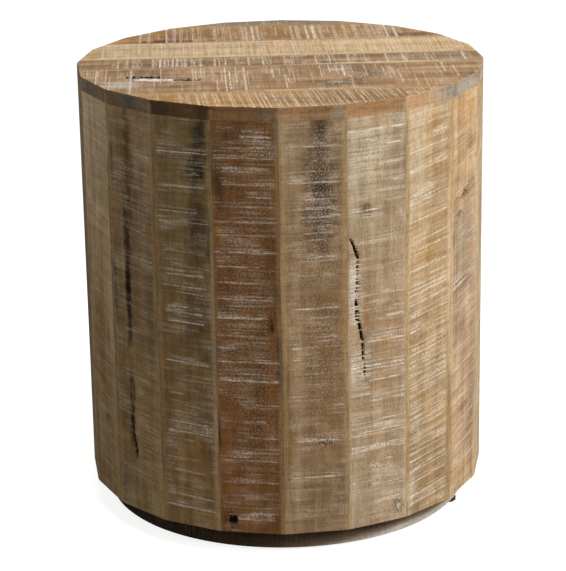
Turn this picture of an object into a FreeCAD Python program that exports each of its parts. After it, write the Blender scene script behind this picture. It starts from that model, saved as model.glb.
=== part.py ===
import FreeCAD, Part
import math
import os

# A drum side table: sawn boards mitred into a twenty-sided drum on a set back plinth.
# Millimetres, +Z up. The drum's axis is Z, it stands on z = 0, and one of its corners faces -Y.
# An azimuth is counted in degrees from -Y towards +X.

# Overall sizes
OVERALL_HEIGHT = 508.0          # floor to table top
CORNER_DIAMETER = 457.2         # across the drum's corners, before they are eased

# Staves and the lipping above them
STAVE_COUNT = 20
STAVE_THICKNESS = 19.0
CORNER_EASING = 30.0            # radius sanded on the long outer corners
STAVE_FOOT_ARRIS = 1.2          # chamfer round the foot of the drum
SEAM_ARRIS = 0.5                # chamfer on each side of the seam under the rim
RIM_HEIGHT = 11.5
RIM_WIDTH = 24.0

# Top boards, laid over the rim and the sub top
TOP_BOARD_THICKNESS = 4.0
TOP_ARRIS = 1.5                 # chamfer round the edge of the table top
TOP_TURN = 3.3                  # the boards run this far round from X
FRONT_BOARD_WIDTH = 75.6        # measured in from the front corner
BACK_BOARD_WIDTHS = (51.5, 84.5, 89.0, 31.6)    # on to the back corner; one wide board fills the rest

# Formers inside the drum
HOOP_THICKNESS = 18.0
HOOP_WIDTH = 45.0
BASE_PANEL_THICKNESS = 6.0

# Plinth and glides
PLINTH_SETBACK = 18.8           # from the flats of the drum to the plinth
PLINTH_HEIGHT = 25.5
PLINTH_WIDTH = 42.0
PLINTH_ARRIS = 1.5
PLINTH_TURN = 70.0              # azimuth of the middle of the first arc
GLIDE_HEIGHT = 4.0
GLIDE_DIAMETER = 20.0
GLIDE_ARRIS = 1.0               # chamfer round the sole of a glide
GLIDE_INSETS = (-1.5, 12.0, 12.0, 12.0)     # from the plinth's edge; the first glide stands a little proud

# Screws and nails
SCREW_DIAMETER = 4.0
SCREW_HEAD_DIAMETER = 8.0
FASTENER_SIDES = 6              # screws, nails and their holes are drawn six-sided
FASTENER_CLEARANCE = 0.1        # round a screw or nail in its hole
STAVES_PER_SCREW = 2            # every second stave is screwed to the hoops
STAVE_SCREW_BITE = 12.0         # how far a screw reaches into a stave
JOINTS_PER_TOP_SCREW = 4        # a top screw stands at every fourth corner of the drum
TOP_SCREW_BITE = 8.0
PLINTH_SCREW_SPREAD = 27.0      # degrees from a glide to the screw on each side of it
PLINTH_SCREW_SINK = 8.0         # depth of the counterbore
PLINTH_SCREW_BITE = 12.0
COUNTERBORE_MARGIN = 1.0        # room for a driver round the head
NAIL_DIAMETER = 2.5
NAIL_HEAD_DIAMETER = 6.0
NAIL_HEAD_THICKNESS = 1.2
NAIL_HEAD_SINK = 0.6            # below the sole of the glide
NAIL_BITE = 16.0

# Levels, from the floor up
PLINTH_BOTTOM = GLIDE_HEIGHT
STAVE_BOTTOM = PLINTH_BOTTOM + PLINTH_HEIGHT
LOWER_HOOP_BOTTOM = STAVE_BOTTOM + BASE_PANEL_THICKNESS
TOP_BOTTOM = OVERALL_HEIGHT - TOP_BOARD_THICKNESS
STAVE_TOP = TOP_BOTTOM - RIM_HEIGHT
UPPER_HOOP_BOTTOM = STAVE_TOP - HOOP_THICKNESS

# Flats and angles of the drum
STAVE_ANGLE = 360.0 / STAVE_COUNT
MITRE = math.radians(STAVE_ANGLE / 2)
OUTER_FLAT = CORNER_DIAMETER / 2 * math.cos(MITRE)
STAVE_INNER_FLAT = OUTER_FLAT - STAVE_THICKNESS
RIM_INNER_FLAT = OUTER_FLAT - RIM_WIDTH
HOOP_INNER_FLAT = STAVE_INNER_FLAT - HOOP_WIDTH
HOOP_SCREW_RADIUS = STAVE_INNER_FLAT - HOOP_WIDTH / 2
PLINTH_RADIUS = OUTER_FLAT - PLINTH_SETBACK
ARC_ANGLE = 360.0 / len(GLIDE_INSETS)       # the plinth has an arc for each glide

UP = FreeCAD.Vector(0, 0, 1)
ORIGIN = FreeCAD.Vector(0, 0, 0)


def outward(azimuth, radius, height=0.0):
    """The point at a radius and height in the direction of an azimuth."""
    turn = math.radians(azimuth)
    return FreeCAD.Vector(radius * math.sin(turn), -radius * math.cos(turn), height)


def half_angle(part):
    """A share of the mitre's angle, in degrees."""
    return math.degrees(MITRE) * part


def eased_side(azimuth):
    """One side of the drum's outline: a flat with half of the eased corner at each end."""
    pivot = (OUTER_FLAT - CORNER_EASING) / math.cos(MITRE)
    edges = []
    ends = []
    for side in (-1, 1):
        centre = outward(azimuth + half_angle(side), pivot)
        corner = centre + outward(azimuth + half_angle(side), CORNER_EASING)
        middle = centre + outward(azimuth + half_angle(side / 2), CORNER_EASING)
        flat_end = centre + outward(azimuth, CORNER_EASING)
        edges.append(Part.Arc(corner, middle, flat_end).toShape())
        ends.append((corner, flat_end))
    (left_corner, left_flat), (right_corner, right_flat) = ends
    flat = Part.LineSegment(left_flat, right_flat).toShape()
    return [edges[0], flat, edges[1]], left_corner, right_corner


def mitred_block(azimuth, inner_flat, bottom, height):
    """A board of the drum: the eased side outside, a flat inside, and mitred edges."""
    side, left_corner, right_corner = eased_side(azimuth)
    inner = inner_flat / math.cos(MITRE)
    left_inner = outward(azimuth + half_angle(-1), inner)
    right_inner = outward(azimuth + half_angle(1), inner)
    back = [
        Part.LineSegment(right_corner, right_inner).toShape(),
        Part.LineSegment(right_inner, left_inner).toShape(),
        Part.LineSegment(left_inner, left_corner).toShape(),
    ]
    outline = Part.Wire(Part.__sortEdges__(side + back))
    block = Part.Face(outline).extrude(UP * height)
    block.translate(UP * bottom)
    return block


def chamfer_outside(block, level, size):
    """Chamfers the outer edges of a board that lie at one level."""
    outer = [
        edge
        for edge in block.Edges
        if all(
            abs(v.Z - level) < 1e-6 and math.hypot(v.X, v.Y) > OUTER_FLAT - CORNER_EASING / 2
            for v in edge.Vertexes
        )
        and math.hypot(edge.CenterOfMass.x, edge.CenterOfMass.y) > OUTER_FLAT - size
    ]
    return block.makeChamfer(size, outer)


def sided_face(flat):
    """A flat twenty-sided face with its sides at one distance from the axis."""
    radius = flat / math.cos(MITRE)
    corners = [outward(n * STAVE_ANGLE, radius) for n in range(STAVE_COUNT)]
    return Part.Face(Part.makePolygon(corners + corners[:1]))


def sided_panel(flat, bottom, thickness):
    panel = sided_face(flat).extrude(UP * thickness)
    panel.translate(UP * bottom)
    return panel


def bar(levels):
    """A faceted bar along +Z through (radius, height) levels. A level of no radius is a point."""
    sections = []
    for radius, height in levels:
        ring = [
            outward(side * 360.0 / FASTENER_SIDES, radius, height)
            for side in range(FASTENER_SIDES)
        ]
        sections.append(Part.makePolygon(ring + ring[:1]) if radius else Part.Vertex(0, 0, height))
    return Part.makeLoft(sections, True, True)


def screw(length, grown=0.0):
    """A countersunk screw along +Z, head at z = 0, or its hole when it is grown."""
    shank = SCREW_DIAMETER / 2 + grown
    head = SCREW_HEAD_DIAMETER / 2 + grown
    reach = length + grown
    return bar([(head, 0), (shank, head - shank), (shank, reach - shank), (0, reach)])


def placed(solid, position, direction):
    """Turns a solid made along +Z to a direction and moves it to a position."""
    solid.Placement = FreeCAD.Placement(position, FreeCAD.Rotation(UP, direction))
    return solid


def screw_and_hole(length, position, direction):
    hole = placed(screw(length, FASTENER_CLEARANCE), position, direction)
    return placed(screw(length), position, direction), hole


def drilled(solid, holes):
    """Cuts those of the holes that reach into a solid."""
    near = [hole for hole in holes if hole.BoundBox.intersect(solid.BoundBox)]
    return solid.cut(near) if near else solid


def stave_screws():
    """Screws from the inside of both hoops into every second stave."""
    pairs = []
    length = HOOP_WIDTH + STAVE_SCREW_BITE
    for hoop_bottom in (LOWER_HOOP_BOTTOM, UPPER_HOOP_BOTTOM):
        for stave in range(0, STAVE_COUNT, STAVES_PER_SCREW):
            azimuth = (stave + 0.5) * STAVE_ANGLE
            head = outward(azimuth, HOOP_INNER_FLAT, hoop_bottom + HOOP_THICKNESS / 2)
            pairs.append(screw_and_hole(length, head, outward(azimuth, 1)))
    return pairs


def top_screws():
    """Screws up through the upper hoop into the sub top."""
    length = HOOP_THICKNESS + TOP_SCREW_BITE
    return [
        screw_and_hole(length, outward(joint * STAVE_ANGLE, HOOP_SCREW_RADIUS, UPPER_HOOP_BOTTOM), UP)
        for joint in range(0, STAVE_COUNT, JOINTS_PER_TOP_SCREW)
    ]


def plinth_screws():
    """Screws up through the plinth and the base panel into the lower hoop, and counterbores."""
    pairs = []
    seat = PLINTH_BOTTOM + PLINTH_SCREW_SINK
    length = STAVE_BOTTOM - seat + BASE_PANEL_THICKNESS + PLINTH_SCREW_BITE
    counterbore_radius = SCREW_HEAD_DIAMETER / 2 + COUNTERBORE_MARGIN
    for azimuth in glide_azimuths():
        for side in (-1, 1):
            place = outward(azimuth + side * PLINTH_SCREW_SPREAD, HOOP_SCREW_RADIUS)
            body, hole = screw_and_hole(length, place + UP * seat, UP)
            counterbore = bar([(counterbore_radius, PLINTH_BOTTOM), (counterbore_radius, seat)])
            counterbore.translate(place)
            pairs.append((body, hole.fuse(counterbore)))
    return pairs


def glide_azimuths():
    return [PLINTH_TURN + n * ARC_ANGLE for n in range(len(GLIDE_INSETS))]


def plinth_arc(azimuth):
    """One sawn arc of the plinth, with its outer arrises chamfered."""
    inner = PLINTH_RADIUS - PLINTH_WIDTH
    top = STAVE_BOTTOM
    section = [
        (inner, PLINTH_BOTTOM),
        (PLINTH_RADIUS - PLINTH_ARRIS, PLINTH_BOTTOM),
        (PLINTH_RADIUS, PLINTH_BOTTOM + PLINTH_ARRIS),
        (PLINTH_RADIUS, top - PLINTH_ARRIS),
        (PLINTH_RADIUS - PLINTH_ARRIS, top),
        (inner, top),
    ]
    start = azimuth - ARC_ANGLE / 2
    points = [outward(start, radius, height) for radius, height in section]
    return Part.Face(Part.makePolygon(points + points[:1])).revolve(ORIGIN, UP, ARC_ANGLE)


def glide():
    """A moulded glide, sole down, with a hole and a recess for its nail."""
    disc = Part.makeCylinder(GLIDE_DIAMETER / 2, GLIDE_HEIGHT)
    lowest = [edge for edge in disc.Edges if edge.BoundBox.ZMax < 1e-6]
    disc = disc.makeChamfer(GLIDE_ARRIS, lowest)
    head = NAIL_HEAD_DIAMETER / 2 + FASTENER_CLEARANCE
    recess = bar([(head, 0), (head, NAIL_HEAD_SINK)])
    return disc.cut([recess, glide_nail(FASTENER_CLEARANCE)])


def glide_nail(grown=0.0):
    """A nail for a glide, or the hole for it when it is grown."""
    shank = NAIL_DIAMETER / 2 + grown
    head = NAIL_HEAD_DIAMETER / 2 + grown
    neck = NAIL_HEAD_SINK + NAIL_HEAD_THICKNESS
    tip = GLIDE_HEIGHT + NAIL_BITE + grown
    return bar([(head, NAIL_HEAD_SINK), (shank, neck), (shank, tip - shank), (0, tip)])


def table_top():
    """The whole top slab with its eased outline and its upper edge chamfered."""
    edges = []
    for stave in range(STAVE_COUNT):
        edges += eased_side((stave + 0.5) * STAVE_ANGLE)[0]
    outline = Part.Wire(Part.__sortEdges__(edges))
    slab = Part.Face(outline).extrude(UP * TOP_BOARD_THICKNESS)
    slab.translate(UP * TOP_BOTTOM)
    upper = [edge for edge in slab.Edges if edge.BoundBox.ZMin > OVERALL_HEIGHT - 1e-6]
    return slab.makeChamfer(TOP_ARRIS, upper)


def top_boards():
    """The slab sawn into boards at the joints, from the front to the back."""
    slab = table_top()
    reach = CORNER_DIAMETER / 2
    joints = [reach]
    for width in reversed(BACK_BOARD_WIDTHS):
        joints.append(joints[-1] - width)
    sides = [-reach, -reach + FRONT_BOARD_WIDTH] + joints[::-1]
    boards = []
    for front, back in zip(sides, sides[1:]):
        corner = FreeCAD.Vector(-reach, front, TOP_BOTTOM)
        strip = Part.makeBox(2 * reach, back - front, TOP_BOARD_THICKNESS, corner)
        strip.rotate(ORIGIN, UP, TOP_TURN)
        boards.append(slab.common(strip))
    return boards


def hoop(bottom):
    """A plywood former: twenty-sided outside to fit the staves, and inside to seat the screws."""
    outer = sided_panel(STAVE_INNER_FLAT, bottom, HOOP_THICKNESS)
    return outer.cut(sided_panel(HOOP_INNER_FLAT, bottom, HOOP_THICKNESS))


def stave(number, holes):
    azimuth = (number + 0.5) * STAVE_ANGLE
    board = mitred_block(azimuth, STAVE_INNER_FLAT, STAVE_BOTTOM, STAVE_TOP - STAVE_BOTTOM)
    board = chamfer_outside(board, STAVE_BOTTOM, STAVE_FOOT_ARRIS)
    board = chamfer_outside(board, STAVE_TOP, SEAM_ARRIS)
    return drilled(board, holes)


def rim_block(number):
    azimuth = (number + 0.5) * STAVE_ANGLE
    block = mitred_block(azimuth, RIM_INNER_FLAT, STAVE_TOP, RIM_HEIGHT)
    return chamfer_outside(block, STAVE_TOP, SEAM_ARRIS)


def table():
    """Every node of the table by name."""
    into_staves = stave_screws()
    into_top = top_screws()
    into_plinth = plinth_screws()
    stave_holes = [hole for _, hole in into_staves]
    top_holes = [hole for _, hole in into_top]
    plinth_holes = [hole for _, hole in into_plinth]

    nodes = {}
    for number in range(STAVE_COUNT):
        nodes[f"stave_{number + 1:02d}"] = stave(number, stave_holes)
        nodes[f"rim_{number + 1:02d}"] = rim_block(number)
    for number, board in enumerate(top_boards(), 1):
        nodes[f"top_board_{number}"] = board

    nodes["sub_top"] = drilled(sided_panel(RIM_INNER_FLAT, STAVE_TOP, RIM_HEIGHT), top_holes)
    nodes["upper_hoop"] = drilled(hoop(UPPER_HOOP_BOTTOM), stave_holes + top_holes)
    nodes["lower_hoop"] = drilled(hoop(LOWER_HOOP_BOTTOM), stave_holes + plinth_holes)
    base_panel = sided_panel(STAVE_INNER_FLAT, STAVE_BOTTOM, BASE_PANEL_THICKNESS)
    nodes["base_panel"] = drilled(base_panel, plinth_holes)

    glides = []
    nails = []
    for number, (azimuth, inset) in enumerate(zip(glide_azimuths(), GLIDE_INSETS), 1):
        place = outward(azimuth, PLINTH_RADIUS - inset - GLIDE_DIAMETER / 2)
        glides.append(placed(glide(), place, UP))
        nails.append(placed(glide_nail(), place, UP))
        nail_hole = placed(glide_nail(FASTENER_CLEARANCE), place, UP)
        nodes[f"plinth_arc_{number}"] = drilled(plinth_arc(azimuth), plinth_holes + [nail_hole])
    nodes["glides"] = Part.makeCompound(glides)
    nodes["glide_nails"] = Part.makeCompound(nails)

    nodes["stave_screws"] = Part.makeCompound([body for body, _ in into_staves])
    nodes["top_screws"] = Part.makeCompound([body for body, _ in into_top])
    nodes["plinth_screws"] = Part.makeCompound([body for body, _ in into_plinth])
    return nodes


os.makedirs("parts", exist_ok=True)
for node, shape in table().items():
    shape.exportStep(f"parts/{node}.step")
    print(node, len(shape.Solids), "solids", round(shape.Volume / 1000, 1), "cm3", shape.isValid())
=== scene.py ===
# %% [markdown]
# # A drum side table of rough sawn mango boards
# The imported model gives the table's real size and the place of every piece, in metres, with Z up.
# Everything below is built inside that frame: the boards get their saw marks, splits and sanded
# corners, and every piece gets its finish. Nothing is moved or resized.

# %% Load the frame
import math
import random
from collections import namedtuple

import bmesh
import bpy
from mathutils import Matrix, Vector, noise


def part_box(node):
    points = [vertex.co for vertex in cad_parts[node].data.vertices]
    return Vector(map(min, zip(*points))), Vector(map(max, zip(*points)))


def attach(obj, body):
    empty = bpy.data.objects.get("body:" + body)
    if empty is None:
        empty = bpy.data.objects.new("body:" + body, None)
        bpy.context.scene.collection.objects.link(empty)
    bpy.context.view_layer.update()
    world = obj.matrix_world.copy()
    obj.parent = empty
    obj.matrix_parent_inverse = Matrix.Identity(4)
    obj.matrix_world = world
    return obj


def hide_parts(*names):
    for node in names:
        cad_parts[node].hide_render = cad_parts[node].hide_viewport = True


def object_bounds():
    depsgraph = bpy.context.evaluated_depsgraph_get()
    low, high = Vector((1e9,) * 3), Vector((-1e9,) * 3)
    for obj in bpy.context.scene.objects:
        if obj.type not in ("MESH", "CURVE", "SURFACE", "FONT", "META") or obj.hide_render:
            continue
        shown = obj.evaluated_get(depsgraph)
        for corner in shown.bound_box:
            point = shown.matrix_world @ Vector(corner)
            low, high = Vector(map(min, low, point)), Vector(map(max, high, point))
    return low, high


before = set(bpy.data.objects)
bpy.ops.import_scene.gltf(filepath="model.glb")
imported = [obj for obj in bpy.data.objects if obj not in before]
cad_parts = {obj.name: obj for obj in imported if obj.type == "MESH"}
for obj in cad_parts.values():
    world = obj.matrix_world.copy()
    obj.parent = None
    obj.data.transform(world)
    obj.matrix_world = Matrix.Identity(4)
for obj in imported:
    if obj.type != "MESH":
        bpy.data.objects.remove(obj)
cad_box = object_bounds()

MM = 0.001
scene = bpy.context.scene
print("CAD box in mm:", [[round(c / MM, 1) for c in corner] for corner in cad_box])

# %% [markdown]
# ## Measures
# The drum has flat sides, so its outline follows from the number of staves and one radius. The
# long corners are sanded round, which has to be known to get from the corner to the flat. Reading
# the rest from the frame keeps the looks on the construction if a size changes there.

# %% Measures of the drum
STAVES = len([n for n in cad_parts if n.startswith("rim_")])
STAVE_ANGLE = math.tau / STAVES
MITRE = STAVE_ANGLE / 2
EASING = 30 * MM                # radius sanded on the drum's corners
CORNER = cad_box[1][1]          # one corner lies on the Y axis
FLAT = (CORNER - EASING) * math.cos(MITRE) + EASING
HALF_FACE = CORNER * math.sin(MITRE)
STAVE_FOOT, STAVE_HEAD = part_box("stave_01")[0][2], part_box("stave_01")[1][2]
RIM_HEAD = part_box("rim_01")[1][2]
TABLE_TOP = cad_box[1][2]
STAVE_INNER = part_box("upper_hoop")[1][0] * math.cos(MITRE)
RIM_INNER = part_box("sub_top")[1][0] * math.cos(MITRE)
print(f"{STAVES} staves, flats {2 * FLAT / MM:.1f} mm apart, each {2 * HALF_FACE / MM:.1f} mm wide")

# %% [markdown]
# ## Camera
# The photograph was taken from a little above the table top with a long lens. The lens, distance
# and tilt come from fitting the drum's outline and joints, so the camera is set once, by its
# place and its angles. The picture is slightly rolled, as product shots often are.

# %% Camera
IMAGE_WIDTH, IMAGE_HEIGHT = 566, 571
FOCAL_PIXELS = 2241.4
CAMERA_AWAY, CAMERA_HEIGHT = 2470.9 * MM, 1044.6 * MM
CAMERA_AZIMUTH, CAMERA_PITCH, CAMERA_ROLL, CAMERA_PAN = (
    math.radians(angle) for angle in (0.8, 18.002, 0.988, 0.019)
)

camera = bpy.data.objects.new("camera", bpy.data.cameras.new("camera"))
camera.data.sensor_width = 36
camera.data.lens = FOCAL_PIXELS * camera.data.sensor_width / max(IMAGE_WIDTH, IMAGE_HEIGHT)
stand = Matrix.Rotation(CAMERA_AZIMUTH, 4, "Z") @ Matrix.Translation((0, -CAMERA_AWAY, CAMERA_HEIGHT))
aim = Matrix.Rotation(math.pi / 2 - CAMERA_PITCH, 4, "X") @ Matrix.Rotation(-CAMERA_ROLL, 4, "Z")
camera.matrix_world = stand @ aim @ Matrix.Rotation(CAMERA_PAN, 4, "Y")
scene.collection.objects.link(camera)
scene.camera = camera
print(f"lens {camera.data.lens:.1f} mm, camera {camera.location.length:.2f} m from the table's foot")

# %% [markdown]
# ## Colours and nodes
# Colours are written as the hex values one reads off a picture, which are sRGB. Cycles works in
# linear light, so one function turns them. A second adds a node with its settings and links and
# hands back one of its outputs, so a material reads as a list of what it is made of.

# %% Helpers for materials
def linear(hex_colour):
    """Linear RGBA of an sRGB hex value."""
    channels = [int(hex_colour[i:i + 2], 16) / 255 for i in (1, 3, 5)]
    return tuple(c / 12.92 if c <= 0.04045 else ((c + 0.055) / 1.055) ** 2.4 for c in channels) + (1.0,)


def add(tree, kind, inputs=(), out=0, **settings):
    """Adds a node with its settings, fills or links its inputs, and returns one of its outputs."""
    node = tree.nodes.new("ShaderNode" + kind)
    for name, value in settings.items():
        setattr(node, name, value)
    for name, value in dict(inputs).items():
        if isinstance(value, bpy.types.NodeSocket):
            tree.links.new(value, node.inputs[name])
        else:
            node.inputs[name].default_value = value
    return node.outputs[out] if node.outputs else node


def new_material(name):
    """A material with an empty tree."""
    material = bpy.data.materials.new(name)
    material.use_nodes = True
    material.node_tree.nodes.clear()
    return material, material.node_tree


# %% [markdown]
# ## Studio
# A large soft key stands to the right in front of the table, a weaker one hangs above it, and the
# white room fills the left side a little. The floor is pale. Seen directly it is lifted to white,
# with the table's shadow left on it, while the light that it sends back to the table stays plain.

# %% Floor and room
FLOOR_SIZE = 30.0
FLOOR_LIFT = 0.86
ROOM_LIGHT = 0.23               # how much of the white room lights the table


def pale_floor():
    material, tree = new_material("pale studio floor")
    plain = add(tree, "BsdfDiffuse", {"Color": linear("#C4C2BE")})
    lift = add(tree, "Emission", {"Color": linear("#FFFFFF"), "Strength": FLOOR_LIFT})
    seen = add(tree, "AddShader", {0: plain, 1: lift})
    direct = add(tree, "LightPath", out="Is Camera Ray")
    surface = add(tree, "MixShader", {0: direct, 1: plain, 2: seen})
    add(tree, "OutputMaterial", {"Surface": surface})
    return material


def white_room():
    world = bpy.data.worlds.new("white room")
    world.use_nodes = True
    tree = world.node_tree
    tree.nodes.clear()
    direct = add(tree, "LightPath", out="Is Camera Ray")
    for ray in ("Is Glossy Ray", "Is Transmission Ray"):
        other = add(tree, "LightPath", out=ray)
        direct = add(tree, "Math", {0: direct, 1: other}, operation="MAXIMUM")
    level = add(tree, "MapRange", {"Value": direct, "To Min": ROOM_LIGHT, "To Max": 1.0})
    room = add(tree, "Background", {"Color": linear("#FFFFFF"), "Strength": level})
    add(tree, "OutputWorld", {"Surface": room})
    return world


bm = bmesh.new()
bmesh.ops.create_grid(bm, x_segments=1, y_segments=1, size=FLOOR_SIZE / 2)
floor = bpy.data.objects.new("floor", bpy.data.meshes.new("floor"))
bm.to_mesh(floor.data)
bm.free()
floor.data.materials.append(pale_floor())
scene.collection.objects.link(floor)
scene.world = white_room()
scene.view_settings.view_transform = "Standard"
print("floor", FLOOR_SIZE, "m wide, room light", ROOM_LIGHT)

# %% Lamps
def soft_lamp(name, azimuth, elevation, away, size, watts):
    """A square softbox that looks at the middle of the table."""
    lamp = bpy.data.lights.new(name, "AREA")
    lamp.energy = watts
    lamp.size = size
    box = bpy.data.objects.new(name, lamp)
    turn, lift = math.radians(azimuth), math.radians(elevation)
    aside = Vector((math.sin(turn), -math.cos(turn), 0)) * math.cos(lift) + Vector((0, 0, math.sin(lift)))
    box.location = Vector((0, 0, TABLE_TOP / 2)) + aside * away
    box.rotation_euler = aside.to_track_quat("Z", "Y").to_euler()
    scene.collection.objects.link(box)


soft_lamp("key", azimuth=62, elevation=22, away=2.6, size=1.5, watts=52)
soft_lamp("overhead", azimuth=30, elevation=76, away=2.4, size=1.4, watts=37)

# %% [markdown]
# ## Rough sawn mango
# The boards are reclaimed mango, left as the saw cut them: soft bands, fibres and short dark pores
# run along the grain, and the blade left fine scratches across it. A pale wash that was wiped over
# the boards stayed in the scratches and the bolder scores. The maker sanded only the corners, and
# the wash is gone there. Attributes painted on each board say where this happens: its tone, how
# much wash it took, its bold scores, where it was sanded, where it split and where a burr speckles
# it. The nodes add what is too fine to paint. Each noise is stretched to the size of the mark that
# it draws, in millimetres across and along the grain. Real pores and burr specks are half as wide,
# too fine to show at this distance.

# %% Rough sawn mango
RANGE = "Value", "From Min", "From Max", "To Min", "To Max"     # inputs of a Map Range node
SMOOTH = {"interpolation_type": "SMOOTHSTEP"}
BLEND = {"out": 2, "data_type": "RGBA"}                         # a Mix node that blends colours


def rough_sawn_mango():
    material, tree = new_material("rough sawn mango")
    grain = add(tree, "UVMap", uv_map="grain")
    mark = {}
    for name, across, along, detail, distortion in (
        ("bands", 14, 200, 2, 0.8), ("mottle", 9, 26, 3, 0.6), ("fibres", 2.6, 24, 3, 0.0),
        ("pores", 1.8, 4.5, 2, 0.0), ("scratches", 55, 2.3, 3, 0.0), ("breaks", 2.4, 3.2, 3, 0.0),
        ("specks", 1.9, 1.9, 3, 0.0),
    ):
        stretch = (1 / (across * MM), 1 / (along * MM), 1)
        place = add(tree, "VectorMath", {0: grain, 1: stretch}, operation="MULTIPLY")
        fineness = {"Scale": 1.0, "Detail": detail, "Roughness": 0.55, "Distortion": distortion}
        mark[name] = add(tree, "TexNoise", {"Vector": place} | fineness, noise_dimensions="2D")
    colour = add(tree, "Attribute", attribute_name="tone")
    wash, score, sanded, crack, burr = (
        add(tree, "Attribute", out="Fac", attribute_name=name)
        for name in ("wash", "score", "sanded", "crack", "burr")
    )

    # Growth bands, patches, fibres, pores and the dark side of the scratches, each as a share of its tint
    for name, clear, full, share, tint in (
        ("bands", 0.62, 0.34, 0.22, "#6F5232"),
        ("mottle", 0.58, 0.34, 0.10, "#6E5236"),
        ("fibres", 0.60, 0.36, 0.12, "#6E583C"),
        ("pores", 0.52, 0.68, 0.26, "#4A3420"),
        ("scratches", 0.52, 0.30, 0.16, "#7A5C36"),
    ):
        amount = add(tree, "MapRange", zip(RANGE, (mark[name], clear, full, 0.0, share)), **SMOOTH)
        tinted = {0: amount, 6: colour, 7: linear(tint)}
        colour = add(tree, "Mix", tinted, blend_type="MULTIPLY", **BLEND)

    # A burr's pale and dark specks
    for clear, full, share, tint in ((0.54, 0.66, 0.6, "#D8CCB8"), (0.47, 0.36, 0.6, "#37291C")):
        amount = add(tree, "MapRange", zip(RANGE, (mark["specks"], clear, full, 0.0, share)), **SMOOTH)
        amount = add(tree, "Math", {0: amount, 1: burr}, operation="MULTIPLY")
        colour = add(tree, "Mix", {0: amount, 6: colour, 7: linear(tint)}, **BLEND)

    # The wash, in dashes along the scratches and in the scores, broken up by the grain
    dashes = add(tree, "MapRange", zip(RANGE, (mark["scratches"], 0.42, 0.62, 0.12, 1.0)), **SMOOTH)
    dashes = add(tree, "Math", {0: wash, 1: dashes}, operation="MULTIPLY")
    held = []
    for paint, gap in ((dashes, 0.2), (score, 0.4)):
        whole = add(tree, "MapRange", zip(RANGE, (mark["breaks"], 0.38, 0.56, gap, 1.0)))
        held.append(add(tree, "Math", {0: paint, 1: whole}, operation="MULTIPLY"))
    held = add(tree, "Math", {0: held[0], 1: held[1]}, operation="MAXIMUM")
    colour = add(tree, "Mix", {0: held, 6: colour, 7: linear("#E2D6C4")}, **BLEND)

    # Splits and holes are near black inside, as painted shade of their depth; splits are torn along the
    # grain, and crossed by the washed scores
    torn = crack
    for cause, share, middle in (
        (mark["breaks"], 0.8, 0.5), (mark["scratches"], 0.8, 0.5), (score, -0.7, 0.0),
    ):
        apart = add(tree, "Math", {0: cause, 1: middle}, operation="SUBTRACT")
        torn = add(tree, "Math", {0: apart, 1: share, 2: torn}, operation="MULTIPLY_ADD")
    split = add(tree, "MapRange", {"Value": torn, "From Min": 0.54, "From Max": 0.72}, **SMOOTH)
    colour = add(tree, "Mix", {0: split, 6: colour, 7: linear("#1A120B")}, **BLEND)

    # Scratches and fibres stand in low relief, and sanded wood is a little smoother
    unsanded = add(tree, "Math", {0: 1.0, 1: sanded}, operation="SUBTRACT")
    relief = add(tree, "Math", {0: mark["scratches"], 1: unsanded}, operation="MULTIPLY")
    relief = add(tree, "Math", {0: mark["fibres"], 1: 0.5, 2: relief}, operation="MULTIPLY_ADD")
    bump = add(tree, "Bump", {"Strength": 0.25, "Distance": 0.5 * MM, "Height": relief})
    matt = add(tree, "MapRange", {"Value": sanded, "To Min": 0.80, "To Max": 0.60})
    matt = add(tree, "Math", {0: mark["fibres"], 1: 0.12, 2: matt}, operation="MULTIPLY_ADD")
    wood = {"Base Color": colour, "Roughness": matt, "IOR": 1.5, "Specular IOR Level": 0.1, "Normal": bump}
    add(tree, "OutputMaterial", {"Surface": add(tree, "BsdfPrincipled", wood)})
    return material


MANGO = rough_sawn_mango()
print("material:", MANGO.name, len(MANGO.node_tree.nodes), "nodes")

# %% [markdown]
# ## A card for each board
# Every board is a different piece of wood, so each has a card. It holds the tones along the grain,
# the width of the sanded strip at each side, how much wash it took, its bold scores, and how many
# fainter ones the saw left and how strong they are. Stains, speckled burrs, knots, splits and nail
# holes are placed one by one. Places are in millimetres, first across the board from its middle, then
# along it, which on a stave is the height above the floor.

# %% What a card holds
DARK, BROWN, GREY, ORANGE = "#33291F", "#6E4E30", "#77706A", "#B98850"


def card(tones, strips=(4, 4), wash=0.6, scores=(), saw=(24, 0.5), tilt=(0.0, 0.0), **marks):
    """A board's marks. A score is a place along the board, or that with its start and end across.

    The tilt is how much its scores slant at its two ends. Other marks: stains as place, half sizes,
    strength and tone; burrs as place, half sizes and strength; knots and holes as place and half
    size; cracks as half width and points; how bold, broad and steady the scores are, and how strong
    the streaks of its figure.
    """
    stains = [stain[:5] + (linear(stain[5]),) for stain in marks.pop("stains", ())]
    plain = {"burrs": (), "knots": (), "holes": (), "cracks": ()}
    plain |= {"bold": 0.95, "broad": 1.0, "steady": 0.7, "figure": 0.2}
    return plain | marks | {
        "tones": [linear(tone) for tone in tones], "strips": strips, "wash": wash,
        "scores": scores, "saw": saw, "tilt": tilt, "stains": stains,
    }


# %% [markdown]
# The cards of the ten staves that show in the photograph follow it, board by board. The ten behind
# take the same kinds of marks in other places.

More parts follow.
